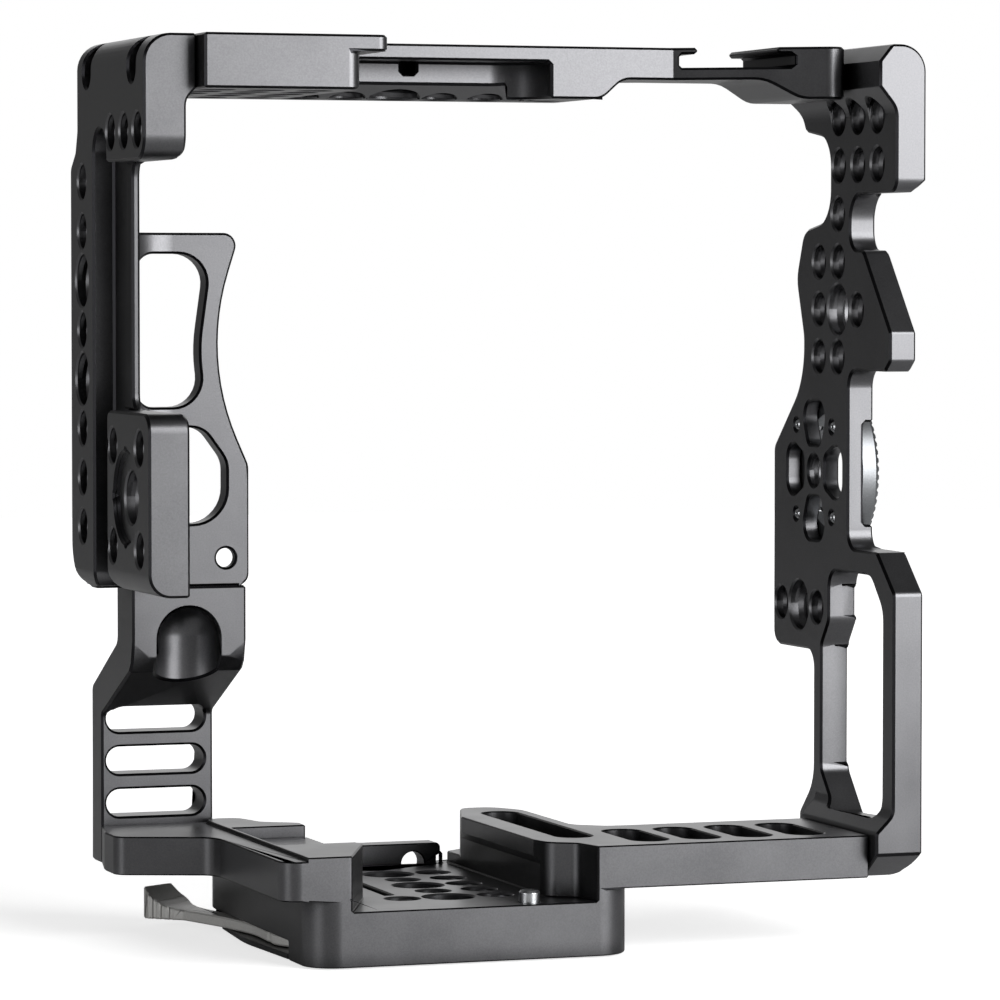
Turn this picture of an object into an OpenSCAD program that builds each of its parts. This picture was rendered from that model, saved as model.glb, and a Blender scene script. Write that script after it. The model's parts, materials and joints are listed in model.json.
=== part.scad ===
// Camera cage for a mirrorless body with a battery grip.
// Units are millimetres. X runs to the right, Y to the back and Z up. The origin is the
// axis of the middle 3/8-16 socket, at the underside of the base plate.

/* [Cage frame] */
// Height of the top face above the underside
cage_top = 166.1; // [165.6:0.1:168]
// Outer face of the left plate, left of the origin
left_reach = 62.2; // [62:0.1:63]
// Outer face of the right plate, right of the origin
right_reach = 86; // [86:0.1:88]
// Thickness of the right plate
right_wall = 6; // [6:0.1:6.4]
// Rear edge of the top plate
top_back = 13; // [12.6:0.1:14]
// Level of the top plate's underside, below its top face
top_depth = 9.7; // [9.4:0.1:9.9]

/* [Threaded holes] */
// Spacing of the accessory holes
hole_pitch = 9; // [8.8:0.1:9.1]
// Major diameter of the 1/4-20 holes
quarter_d = 6.35; // [6.3:0.05:6.4]
// Major diameter of the 3/8-16 holes
three_eighths_d = 9.53; // [9.5:0.01:9.6]
// Width of the chamfer at the mouth of a hole
mouth_chamfer = 0.35; // [0.2:0.05:0.4]
// Thread diameter of the joint screws
screw_d = 3; // [2.9:0.1:3.1]
// Head diameter of the joint screws
screw_head_d = 5.5; // [5.3:0.1:5.6]
// Head height of the joint screws
screw_head_h = 3; // [2.8:0.1:3.1]

/* [Base plate] */
// Height of the floor that the quick-release plate slides on
floor_z = 10; // [9.8:0.1:10.2]
// Underside of the arm, the strip and the grip foot
overhang_z = 12.2; // [12:0.1:12.4]
// Top of the strip and the grip foot
strip_z = 19.4; // [19.2:0.1:19.6]
// Top of the rails and the arm
rail_z = 20.1; // [19.9:0.1:20.4]
// Front face of the base plate, in front of the origin
base_front = 34.1; // [34:0.1:34.4]
// Height of the recess for the lever
lever_recess_z = 3.5; // [3.4:0.1:3.6]

/* [Clamp] */
// Radius at which the cam pin runs around the shaft
cam_throw = 1.5; // [1.4:0.05:1.6]
// Diameter of the cam pin
cam_pin_d = 4; // [3.8:0.1:4.1]
// Diameter of the cam shaft
cam_shaft_d = 10; // [9.6:0.1:10.2]
// Radial clearance of the shaft in its bush
running_clearance = 0.04; // [0.03:0.01:0.06]
// Angle of the cam pin ahead of the slide direction when the lever is closed
cam_start_angle = 40; // [36:1:42]
// Thickness of the lever's arm
lever_t = 2; // [1.8:0.1:2.1]
// Height of the lever's thumb pad
pad_h = 6; // [5:0.1:6.4]

/* [Locating pin] */
// Diameter of the locating pin
locating_d = 3.8; // [3.6:0.1:4]
// Height of the locating pin above the floor
locating_rise = 2.2; // [2:0.1:2.4]

/* [Rosette] */
// Outer diameter of the toothed ring
rosette_d = 32; // [31.6:0.1:32.2]
// Bore of the toothed ring
rosette_bore = 22; // [21:0.1:22.4]
// Number of teeth on the ring
rosette_teeth = 60; // [36:12:60]

/* [Hidden] */

$fn = 48;
eps = 0.01;
left_out = -left_reach;
right_in = right_reach - right_wall;
top_under = cage_top - top_depth;
black = "#1d1d1f";
steel = "#b8bbbf";

// ---------- outline helpers ----------

function unit(v) = v / norm(v);

// Points of one corner [x, y, r] between its neighbours; a radius makes it an arc.
function corner(a, c, b, step = 11) =
    let (
        p = [c[0], c[1]],
        r = c[2] == undef ? 0 : c[2],
        u = unit([a[0], a[1]] - p),
        v = unit([b[0], b[1]] - p),
        half = acos(max(-1, min(1, u * v))) / 2,
        centre = p + unit(u + v) * r / sin(half),
        start = p + u * r / tan(half) - centre,
        finish = p + v * r / tan(half) - centre,
        a0 = atan2(start[1], start[0]),
        turn0 = atan2(finish[1], finish[0]) - a0,
        turn = turn0 > 180 ? turn0 - 360 : turn0 < -180 ? turn0 + 360 : turn0,
        n = max(2, ceil(abs(turn) / (r > 12 ? step / 3 : step)))
    )
    r == 0 ? [p] : [for (i = [0:n]) centre + r * [cos(a0 + turn * i / n), sin(a0 + turn * i / n)]];

// Outline whose corners are rounded by their own radii.
module outline(corners) {
    n = len(corners);
    polygon([
        for (i = [0:n - 1])
            each corner(corners[(i + n - 1) % n], corners[i], corners[(i + 1) % n])
    ]);
}

// Extrudes a plan (X, Y) from z0 to z1.
module plan_slab(z0, z1) {
    translate([0, 0, z0]) linear_extrude(z1 - z0) children();
}

// Extrudes a side view (Y, Z) from x0 to x1.
module side_slab(x0, x1) {
    translate([x0, 0, 0]) rotate([90, 0, 90]) linear_extrude(x1 - x0) children();
}

// Extrudes a front view (X, Z) from y0 to y1.
module front_slab(y0, y1) {
    translate([0, y1, 0]) rotate([90, 0, 0]) linear_extrude(y1 - y0) children();
}

// Stadium shape between two points.
module slot_2d(p, q, r) {
    d = q - p;
    translate(p) circle(r);
    translate(q) circle(r);
    translate(p) rotate(atan2(d[1], d[0])) translate([0, -r]) square([norm(d), 2 * r]);
}

// ---------- holes and screws ----------

// Hole along +Z from 0 to length with a chamfer at both mouths.
module drilled(d, length, chamfer = mouth_chamfer) {
    translate([0, 0, -eps]) cylinder(h = length + 2 * eps, d = d);
    translate([0, 0, -eps]) cylinder(h = chamfer + eps, d1 = d + 2 * chamfer, d2 = d);
    translate([0, 0, length - chamfer])
        cylinder(h = chamfer + eps, d1 = d, d2 = d + 2 * chamfer);
}

// Hole through a side plate, from x0 to x1.
module side_hole(y, z, x0, x1, d = quarter_d) {
    translate([x0, y, z]) rotate([0, 90, 0]) drilled(d, x1 - x0);
}

// Vertical hole from z0 to z1.
module floor_hole(x, y, z0, z1, d = quarter_d) {
    translate([x, y, z0]) drilled(d, z1 - z0);
}

// Socket cap screw along +Z with its head's seat at 0 and its socket facing -Z.
module cap_screw(length, d = screw_d, head_d = screw_head_d, head_h = screw_head_h) {
    difference() {
        union() {
            translate([0, 0, -head_h]) cylinder(h = head_h, d = head_d);
            translate([0, 0, -eps]) cylinder(h = length + eps, d = d);
        }
        translate([0, 0, -head_h - eps]) cylinder(h = head_h * 0.6, d = d * 0.95, $fn = 6);
    }
}

// Room for a cap screw: a counterbore in front of the seat and a shank hole behind it.
module cap_screw_room(length, counterbore, d = screw_d, head_d = screw_head_d) {
    translate([0, 0, -counterbore]) cylinder(h = counterbore, d = head_d + 0.2);
    translate([0, 0, -eps]) cylinder(h = length + 0.3, d = d);
}

// ---------- joint screw places ----------

top_screw_z = cage_top - 6.2;
top_left_z = cage_top - 5.5;
top_left_ys = [-27.3, 3.8];
top_left_seat = left_out + 4.4;
top_left_screw_l = 6.4;
top_right_ys = [-16, -2];
top_right_seat = right_reach - 3.6;
leg_top_xs = [-47.5, -41];
leg_foot_xs = [-46.5, -35.5];
leg_top_screw_y = 19.6;
leg_top_seat = 70.4;
leg_foot_screw_z = 15.8;
foot_back = 34.8;
leg_back = 41.9;
leg_foot_seat = leg_back - 3.4;
foot_screw_ys = [-28, -10];
foot_screw_z = 16.3;
foot_seat = right_reach - 3.6;
joint_screw_l = 9;

module at_top_left_screws() {
    for (y = top_left_ys) translate([top_left_seat, y, top_left_z]) rotate([0, 90, 0]) children();
}

module at_top_right_screws() {
    for (y = top_right_ys)
        translate([top_right_seat, y, top_screw_z]) rotate([0, -90, 0]) children();
}

module at_leg_top_screws() {
    for (x = leg_top_xs) translate([x, leg_top_screw_y, leg_top_seat]) mirror([0, 0, 1]) children();
}

module at_leg_foot_screws() {
    for (x = leg_foot_xs)
        translate([x, leg_foot_seat, leg_foot_screw_z]) rotate([90, 0, 0]) children();
}

module at_right_foot_screws() {
    for (y = foot_screw_ys) translate([foot_seat, y, foot_screw_z]) rotate([0, -90, 0]) children();
}

// ---------- clamp places ----------

lever_pivot = [-23, -7];
lever_z0 = 1.2;
cover_t = 1;
cam_web_z = 6.4;
jaw_z0 = cam_web_z + 0.3;
jaw_step_z = 12.6;
jaw_top = 17.8;
jaw_front = -12;
jaw_rear = 17;
jaw_left = -28.2;
jaw_foot_left = -25.8;
jaw_face = -16.2;
jaw_undercut = 1.6;
jaw_foot_right = -9.6;
jaw_foot_top = 9.6;
jaw_play = 0.35;
cam_pin_x = lever_pivot[0] + cam_throw * cos(cam_start_angle);
guide_ys = [3, 12.4];
guide_d = 2;
guide_head_d = 3.1;
guide_z = 15;
guide_head_x = -20.6;
jaw_spring_seat = -25.2;

// ---------- base plate ----------

lower_block = [[-31.5, -base_front, 6], [30.5, -base_front, 7], [30.5, 36, 8], [-31.5, 36, 8]];

grip_strip = [
    [-36.6, -base_front, 3.6], [-26, -base_front, 0], [-26, foot_back, 0], [-51.6, foot_back, 0],
    [-54, 24, 4], [-54, 15.7, 3], [-37.6, 9.4, 3.5], [-36.6, 6, 6]
];

left_rail = [
    [-32, -base_front, 0.2], [-23.7, -base_front, 0.8], [-15.7, -15.4, 2], [-16.4, -13, 0.4],
    [-16.6, 17.5, 0.4], [-16.4, 21.6, 2], [-22.8, 25.6, 3], [-25, 34, 3], [-31.4, 34, 3], [-32, 30, 2]
];

jaw_opening = [[-31.1, -13, 1], [-15, -13, 0], [-15, 17.5, 0], [-31.1, 17.5, 1]];

right_rail_and_arm = [
    [15.7, -20, 2], [16.6, -24.6, 4], [21.3, -27.8, 2.6], [22.8, -base_front, 0],
    [76.7, -base_front, 0], [76.7, -3, 0], [37, -3, 6], [31.2, 1.5, 4], [31.2, 29, 8],
    [27, 36, 5], [20.6, 36, 3], [15.7, 21, 3]
];

arm_pockets = [32.4, 42.7, 53, 63.4];
pocket_w = 7.4;
pocket_front = -30;
pocket_back = -8.6;
pocket_floor = 14;

lip_front = 31.2;

floor_hole_rows = [
    for (i = [-2:3]) [0, i * hole_pitch, i % 2 == 0 ? three_eighths_d : quarter_d],
    for (i = [-2:2]) [hole_pitch, i * hole_pitch, quarter_d],
    [-hole_pitch, -2 * hole_pitch, quarter_d]
];

locating_at = [11.2, -30.4];
locating_flange_d = 5.2;
locating_seat = 8.2;
locating_flange_h = 1.6;
locating_tip = floor_z + locating_rise;
plug_z = 0.2;
plug_h = 1.4;

module base_plate() color(black) difference() {
    union() {
        plan_slab(0, overhang_z) outline(lower_block);
        plan_slab(overhang_z, strip_z) outline(grip_strip);
        plan_slab(overhang_z - eps, rail_z) outline(left_rail);
        plan_slab(overhang_z - eps, rail_z) outline(right_rail_and_arm);
        // rear stop lip of the plate channel
        front_slab(lip_front, 36)
            outline([[-12, floor_z - 1], [15, floor_z - 1], [15, 14.1, 1], [-12, 14.1, 1]]);
    }
    // channel of the quick-release plate
    plan_slab(floor_z, rail_z + 1)
        outline([[-24.6, -base_front - 1], [23.45, -base_front - 1], [21.6, -27.6, 2.4],
            [16.8, -24.6, 4], [15.7, -20, 2], [15.7, lip_front, 0], [-12, lip_front, 0], [-12, 37.5],
            [-16.4, 37.5], [-15.7, -15.4, 2], [-23.7, -base_front]]);
    plan_slab(floor_z, overhang_z + eps)
        outline([[-25, 34], [-16.6, 20], [-12.4, 20], [-12.4, 37], [-25, 37]]);
    plan_slab(floor_z, overhang_z + eps) outline([[14.2, 31], [22, 36.6], [22, 38], [14.2, 38]]);
    // undercut of the fixed jaw
    front_slab(-22, 40) polygon([[15.5, 17.4], [16.9, 15.6], [16.9, floor_z], [15.5, floor_z]]);
    // jaw pocket
    plan_slab(overhang_z, rail_z + 1) outline(jaw_opening);
    plan_slab(cam_web_z, rail_z)
        outline([[-28.6, -13, 1], [-8.8, -13, 1], [-8.8, 17.5, 1], [-28.6, 17.5, 1]]);
    translate([lever_pivot[0], lever_pivot[1], 0])
        cylinder(h = cam_web_z + 1, d = cam_shaft_d + 2);
    // lever recess and cover seat
    plan_slab(-eps, lever_recess_z)
        outline([[-40, -20.4], [-25, -20.4, 4], [-12.8, -15, 5], [-12.8, 2, 5], [-24.5, 16, 8],
            [-26, 33, 2], [-40, 33]]);
    for (p = cover_screw_places) translate([p[0], p[1], -eps]) cylinder(h = 6.2, d = 2);
    // accessory holes
    for (h = floor_hole_rows) floor_hole(h[0], h[1], 0, floor_z, h[2]);
    // hole across the rear lip
    translate([9.4, lip_front - 1, floor_z + 0.2]) rotate([-90, 0, 0]) cylinder(h = 8, d = 4.6);
    // lightening pockets
    for (x = arm_pockets)
        plan_slab(pocket_floor, rail_z + 1)
            slot_2d([x + 3.6, pocket_front + pocket_w / 2], [x + 3.6, pocket_back - pocket_w / 2],
                pocket_w / 2);
    plan_slab(pocket_floor, rail_z + 1) slot_2d([24.9, -16.4], [24.9, 24.4], 3.6);
    // locating pin
    translate([locating_at[0], locating_at[1], -eps])
        cylinder(h = locating_seat + eps, d = locating_flange_d + 0.1);
    translate([locating_at[0], locating_at[1], locating_seat - eps])
        cylinder(h = 5, d = locating_d + 0.08);
    // guide screws of the jaw
    for (y = guide_ys) translate([-35.2, y, guide_z]) rotate([0, 90, 0]) cylinder(h = 5, d = guide_d);
    at_leg_foot_screws() cap_screw_room(joint_screw_l, 1);
    at_right_foot_screws() cap_screw_room(joint_screw_l, 1);
}

// ---------- left side plate ----------

rail_front = -0.5;
rail_back = 15.7;
web_x = left_out + 4.1;
wall_x = left_out + 5.6;
groove_front = -9.8;
plate_bottom = 66;
block_bottom = 67.2;
guard_y = 12;
guard_t = 4.7;
blend_r = 13;
block_in = left_out + 7.5;
corner_in = left_out + 9.7;
corner_z = 144;

guard_outline = [
    [wall_x - 2, plate_bottom], [-29.1, plate_bottom, 2.2], [-29.1, 88.4, 4], [-37.9, 108.4, 44],
    [-30.6, 131.6, 2.4], [wall_x - 2, 131.6]
];
upper_opening = [
    [-51.5, 99.3, 4], [-37.6, 99.3, 5.4], [-38.9, 110, 30], [-36.4, 127.7, 5.4], [-51.5, 127.7, 4]
];
lower_opening = [
    [-51.5, 77.6, 4], [-33.4, 77.6, 6.5], [-33.4, 89.2, 5], [-38, 95.5, 4.5], [-51.5, 95.5, 4]
];
socket_at = [-22.6, 84.3];
pilot_d = 16.4;
pilot_depth = 1.1;
rail_holes = [for (i = [0:7]) [140.8 - i * hole_pitch, i == 2 || i == 4 ? three_eighths_d : quarter_d]];

// Tongue of the top plate in the left plate, which the joint screws hold.
module top_tongue() {
    plan_slab(158.3, 163)
        outline([[corner_in + 1, -32], [corner_in - 3.8, -32, 1], [corner_in - 3.8, 8.4, 1],
            [corner_in + 1, 8.4]]);
}

module left_side_plate() color(black) difference() {
    union() {
        intersection() {
            side_slab(left_out, corner_in)
                outline([[-35.5, corner_z, 4.4], [13, corner_z], [10.8, 150, 3], [10.8, cage_top],
                    [-35.5, cage_top]]);
            front_slab(-40, 20)
                outline([[left_out, corner_z], [left_out + 7.8, corner_z, 2], [left_out + 7.8, 154.6, 3],
                    [corner_in, 156.6], [corner_in, cage_top], [left_out, cage_top, 5]]);
        }
        intersection() {
            side_slab(left_out, wall_x)
                outline([[rail_front, plate_bottom + 1, 3], [rail_back, plate_bottom + 1, 8],
                    [rail_back, 143.4, 2], [10.8, 147.4, 5], [10.8, 152], [rail_front, 152]]);
            front_slab(-1, 20)
                outline([[left_out, plate_bottom, 4], [0, plate_bottom], [0, 160], [left_out, 160]]);
        }
        side_slab(web_x, wall_x)
            outline([[-16, plate_bottom + 2], [rail_front + 1, plate_bottom + 2], [rail_front + 1, 150],
                [-16.5, 150], [-16.5, corner_z + 0.5], [-12.5, corner_z + 0.5, 3.4], [-12.5, 99.5, 3],
                [-16, 99.5]]);
        intersection() {
            side_slab(left_out, block_in)
                outline([[-38.3, block_bottom], [groove_front, block_bottom, 3],
                    [groove_front, 99.5, 1.5], [-38.3, 99.5, 3.5]]);
            front_slab(-40, -8)
                outline([[left_out, block_bottom, 4], [block_in, block_bottom], [block_in, 99.5, 1.4],
                    [left_out, 99.5]]);
        }
        front_slab(guard_y, guard_y + guard_t) outline(guard_outline);
        // blend between the wall and the guard
        plan_slab(plate_bottom + 1.2, 131.6)
            difference() {
                translate([wall_x - 1, guard_y - blend_r]) square(blend_r + 1);
                translate([wall_x + blend_r, guard_y - blend_r]) circle(blend_r, $fn = 96);
            }
        // seat of the leg
        plan_slab(plate_bottom, 74)
            outline([[-51.6, guard_y], [-30.6, guard_y], [-30.6, 23.2, 2], [-51.6, 23.2, 2]]);
    }
    // groove beside the rail
    side_slab(left_out - 1, web_x)
        outline([[groove_front, 60], [rail_front, 60], [rail_front, 150.2, 4.6], [groove_front, 150.2, 4.6]]);
    front_slab(0, 24) outline(upper_opening);
    front_slab(guard_y - 1, 24) outline(lower_opening);
    translate([-33.6, 0, 71.2]) rotate([-90, 0, 0]) cylinder(h = 30, d = 3.6);
    for (h = rail_holes) side_hole(7.5, h[0], left_out, wall_x, h[1]);
    for (i = [0:2]) side_hole(-12.8 - i * hole_pitch, 149.3, left_out, left_out + 7.8);
    // large socket with its pilot recess and anti-twist notches, and the holes around it
    side_hole(socket_at[0], socket_at[1], left_out + pilot_depth, block_in, three_eighths_d);
    side_slab(left_out - 1, left_out + pilot_depth) translate(socket_at) {
        circle(pilot_d / 2);
        for (a = [0:90:270]) rotate(a) translate([pilot_d / 2 - 0.3, 0]) rotate(45) square(1.7, center = true);
    }
    for (y = [-1, 1], z = [-1, 1])
        side_hole(socket_at[0] + y * hole_pitch, socket_at[1] + z * hole_pitch, left_out, block_in);
    // screws into the top plate: their counterbores run up into slots
    at_top_left_screws() cap_screw_room(top_left_screw_l, 6);
    side_slab(left_out - 1, top_left_seat)
        for (y = top_left_ys)
            slot_2d([y, top_left_z], [y, top_left_z + 2.4], screw_head_d / 2 + 0.1);
    top_tongue();
    // screws into the leg, and the relief behind the cord hole
    at_leg_top_screws() cap_screw_room(joint_screw_l, 5);
    translate([-37.5, guard_y + 2.4, plate_bottom + 1.6]) cube([8.5, 12, 9]);
}

// ---------- grip leg ----------

leg_left = -51.6;
leg_right = -29.7;
leg_mid = (leg_left + leg_right) / 2;
leg_front = 12;
leg_slots = [39.7, 31.7, 23.6];
scoop_at = [-40.75, leg_front + 1.3, 56.2];
scoop_r = 6;

module grip_leg() color(black) difference() {
    side_slab(leg_left, leg_right)
        outline([[leg_front, plate_bottom], [leg_front, 52.9, 0.6], [14.6, 50, 1], [foot_back, 40.6, 1],
            [foot_back, overhang_z], [leg_back, overhang_z], [leg_back, 45.7, 2], [23.2, 55.4, 2],
            [23.2, plate_bottom]]);
    // thumb scoop
    translate(scoop_at) sphere(scoop_r);
    translate([scoop_at[0], scoop_at[1], scoop_at[2] - 16]) cylinder(h = 16, r = scoop_r);
    // facets at the lower corners of the front face
    for (side = [0, 1])
        translate([leg_mid, 0, 0]) mirror([side, 0, 0])
            translate([leg_left - leg_mid, leg_front, 55.8]) rotate([0, 75.5, 77.4])
                translate([-8, -8, -5]) cube([16, 16, 5]);
    for (z = leg_slots)
        front_slab(20, leg_back + 1) slot_2d([-48, z], [-34, z], 2.6);
    at_leg_foot_screws() cap_screw_room(joint_screw_l, 5);
    at_leg_top_screws() cap_screw_room(joint_screw_l, 1);
}

// ---------- right side plate ----------

mid_out = right_reach - 0.7;
corner_left = 76.7;
foot_round = 4.2;
flange_back = -1.1;

right_outline = [
    [-38.1, cage_top], [-38.1, 139, 2.6], [-16.5, 139, 5.2], [-16.5, 128.4, 3.6], [-22.8, 128.4, 2],
    [-35.4, 113.2, 1], [-35.4, 107.8, 1], [-33, 105.9, 1], [-15.9, 105.9, 3.5], [-15.9, 72.3, 3.5],
    [-29.6, 72.2, 1.2], [-37.5, 65, 1.5], [-37.5, 16.6], [-31.2, overhang_z], [7, overhang_z],
    [7, 20.5, 1.5], [0.3, 27, 8], [0.3, 52, 3.5], [20.2, 51.9, 3], [20.2, 90.6, 2.5],
    [5.6, 103.8, 14], [5.6, 112, 6], [9.35, 123.1, 6], [5.6, 132.3, 4], [-7.2, 134.3, 6.5],
    [-7.2, 149.5, 6], [4.8, 151.1, 1.5], [13, 164.5], [13, cage_top]
];
right_window = [
    [-32.3, 22.4, 5], [-10.5, 21.6, 2], [-3.4, 29.5, 3], [-3.4, 53.4, 2], [-6.9, 58, 3],
    [-6.9, 67.8, 3.5], [-26.5, 67.8, 5], [-32.3, 61.5, 5]
];
right_quarters = [
    for (i = [0:2]) [-29.3 + i * hole_pitch, 144.4 + hole_pitch],
    for (i = [0:2]) [-29.3 + i * hole_pitch, 144.4],
    [-10.9, 135.3], [-10.9, 126.3], [-1.9, 126.3], [-19.9, 117.3], [-1.9, 117.3], [-10.9, 108.3],
    [-1.9, 108.3], [16.3, 60.3], [-1.1, 60.3]
];
right_three_eighths = [[-10.9, 117.3], [7.6, 60.3]];
rosette_at = [0.3, 86.4];
rosette_x = mid_out - 2.1;
rosette_h = 3.8;
rosette_screw_r = 8.6;

module at_rosette() {
    translate([0, rosette_at[0], rosette_at[1]]) children();
}

module at_rosette_screws(x) {
    at_rosette() for (y = [-1, 1], z = [-1, 1])
        translate([x, y * rosette_screw_r, z * rosette_screw_r]) rotate([0, 90, 0]) children();
}

// Wedge pocket between two radii, centred on the direction a.
module rosette_pocket(a) {
    r0 = 4.9;
    r1 = 13.3;
    rotate(a) outline([[r0, -2.9, 2], [r1, -6.6, 3.2], [r1, 6.6, 3.2], [r0, 2.9, 2]]);
}

// Threaded hole of the right plate, which is thinner between its top block and its foot.
module right_hole(at, d) {
    side_hole(at[0], at[1], right_in, at[1] > 72 && at[1] < 140 ? mid_out : right_reach, d);
}

module right_side_plate() color(black) difference() {
    union() {
        side_slab(right_in, right_reach) outline(right_outline);
        // top corner, seen from the front
        intersection() {
            front_slab(-38.1, 13)
                outline([[right_reach, 150], [right_reach, cage_top, 5], [corner_left, cage_top],
                    [corner_left, 158.3, 0.5], [right_in, 154.3, 4], [right_in, 150]]);
            side_slab(60, 90) outline(right_outline);
        }
        // foot, which takes the screws into the arm
        intersection() {
            front_slab(-37.5, flange_back)
                outline([[corner_left, overhang_z], [corner_left, 20.7, 1.2], [right_in, 24, 3],
                    [right_in + 0.1, 30], [right_reach, 30], [right_reach, overhang_z]]);
            side_slab(70, 90)
                outline([[-37.5, 16.6], [-31.2, overhang_z], [0, overhang_z], [0, 31], [-37.5, 31]]);
            plan_slab(10, 32)
                outline([[corner_left, -38], [90, -38], [90, flange_back], [corner_left, flange_back, 1.5]]);
        }
    }
    // rounded outer edges at the top and the bottom
    front_slab(-40, 30) difference() {
        translate([right_reach - 5, cage_top - 5]) square(6);
        translate([right_reach - 5, cage_top - 5]) circle(5);
    }
    front_slab(-40, 30) difference() {
        translate([right_reach - foot_round, overhang_z - 1]) square(foot_round + 1);
        translate([right_reach - foot_round, overhang_z + foot_round]) circle(foot_round);
    }
    // thinner middle, and the chamfer under the top block
    front_slab(-45, 30)
        polygon([[right_reach + 1, 72.1], [right_reach, 72.1], [mid_out, 72.8], [mid_out, 140.5],
            [right_reach, 141.2], [right_reach + 1, 141.2]]);
    front_slab(-45, -19.7)
        polygon([[right_reach + 1, 138], [right_reach - 3.1, 138], [right_reach, 141.2],
            [right_reach + 1, 141.2]]);
    // bevel along the joint with the top plate
    front_slab(-45, 30)
        polygon([[corner_left - 1, 162.7], [corner_left - 0.2, 162.8], [79.2, cage_top], [79.2, cage_top + 1],
            [corner_left - 1, cage_top + 1]]);
    side_slab(right_in - 1, right_reach + 1) outline(right_window);
    // outer half of the window's rear edges
    plan_slab(30.2, 52.8)
        polygon([[82.6, -3.5], [right_reach + 1, -2.3], [right_reach + 1, -5], [82.6, -5]]);
    plan_slab(58.6, 64.6)
        polygon([[82.6, -7], [right_reach + 1, -5.8], [right_reach + 1, -8], [82.6, -8]]);
    for (at = right_quarters) right_hole(at, quarter_d);
    for (at = right_three_eighths) right_hole(at, three_eighths_d);
    // the top row also cuts the fillet of the corner
    for (i = [0:2])
        translate([corner_left - 1.7, right_quarters[i][0], right_quarters[i][1]])
            rotate([0, 90, 0]) cylinder(h = 6, d = quarter_d);
    // seat, pockets and holes of the rosette
    at_rosette() {
        translate([rosette_x, 0, 0]) rotate([0, 90, 0]) cylinder(h = 5, d = rosette_d + 0.6);
        side_slab(rosette_x, right_reach + 1) {
            translate([-17.3, -9.7]) square([5.3, 19.4]);
            rotate(47.9) translate([12, -9.7]) square([8, 19.4]);
        }
        translate([right_in - 1, 0, 0]) rotate([0, 90, 0]) cylinder(h = 8, d = 6.1);
        side_slab(right_in - 1, right_reach) for (a = [0:90:270]) rosette_pocket(a);
    }
    at_rosette_screws(right_in - 1) cylinder(h = 8, d = 2.5);
    at_top_right_screws() cap_screw_room(joint_screw_l, 5);
    at_right_foot_screws() cap_screw_room(joint_screw_l, 5);
}

// ---------- top plate ----------

bar_front = -40.6;
mid_front = -10;
meet_y = -21;
lip_z = cage_top - 2.9;
viewfinder_z = 159;
shoe_back = 4.4;
shoe_z = 162.4;
shoe_slot = [48.1, 66.7];
shoe_gap = [51, 63.9];

// Front edge from the shoe to the right plate, and the rear edge behind it.
right_wing = [
    [47, mid_front], [74.6, -26.7, 3], [corner_left, meet_y], [corner_left, shoe_back], [45, shoe_back, 6],
    [33, top_back, 6], [corner_in, top_back]
];
top_cap = [[corner_in, bar_front], [-18.6, bar_front, 2], [-18.6, mid_front, 3], each right_wing];
top_body = [
    [corner_in, bar_front], [-23.6, bar_front, 2.6], [-23.6, -1, 4], [22.8, -1, 9], [22.8, mid_front],
    each right_wing
];
top_hole_rows = [-31.6, -22.6, -13.6, -4.6, 5];

module top_plate() color(black) difference() {
    union() {
        plan_slab(lip_z - eps, cage_top) outline(top_cap);
        plan_slab(top_under, lip_z) outline(top_body);
        top_tongue();
    }
    // slope under the viewfinder opening
    side_slab(-23.5, 22.7)
        polygon([[-1.5, viewfinder_z + 0.18], [6.5, top_under - eps], [-1.5, top_under - 1]]);
    // raised underside below the shoe
    front_slab(-50, 20)
        outline([[28, top_under - 1], [28, top_under - eps], [32.9, top_under - eps, 4], [37, 160.1, 4],
            [61.8, 160.1, 6], [67.7, top_under - eps, 5], [72, top_under - eps], [72, top_under - 1]]);
    // accessory shoe, open at both ends
    front_slab(-50, 20) translate([shoe_slot[0], shoe_z]) square([shoe_slot[1] - shoe_slot[0], 2.5]);
    front_slab(-50, 20) translate([shoe_gap[0], shoe_z]) square([shoe_gap[1] - shoe_gap[0], 8]);
    // thumb notch in the viewfinder wall
    plan_slab(160.9, 163.9) translate([-3.6, -2]) square([3.1, 5]);
    for (y = top_hole_rows, i = [0:2]) floor_hole(-47.8 + i * hole_pitch, y, top_under, cage_top);
    for (i = [0:4])
        floor_hole(-20.8 + i * hole_pitch, 6.5, top_under, cage_top, i == 2 ? three_eighths_d : quarter_d);
    for (i = [0:1]) floor_hole(26 + i * hole_pitch, 4, top_under, cage_top);
    at_top_left_screws() cap_screw_room(top_left_screw_l, 1);
    at_top_right_screws() cap_screw_room(joint_screw_l, 1);
}

// ---------- fasteners of the frame ----------

module top_left_screws() color("#2a2a2c") at_top_left_screws() cap_screw(top_left_screw_l);
module top_right_screws() color("#2a2a2c") at_top_right_screws() cap_screw(joint_screw_l);
module leg_top_screws() color("#2a2a2c") at_leg_top_screws() cap_screw(joint_screw_l);
module leg_foot_screws() color("#2a2a2c") at_leg_foot_screws() cap_screw(joint_screw_l);
module right_foot_screws() color("#2a2a2c") at_right_foot_screws() cap_screw(joint_screw_l);

// ---------- rosette ----------

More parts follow.
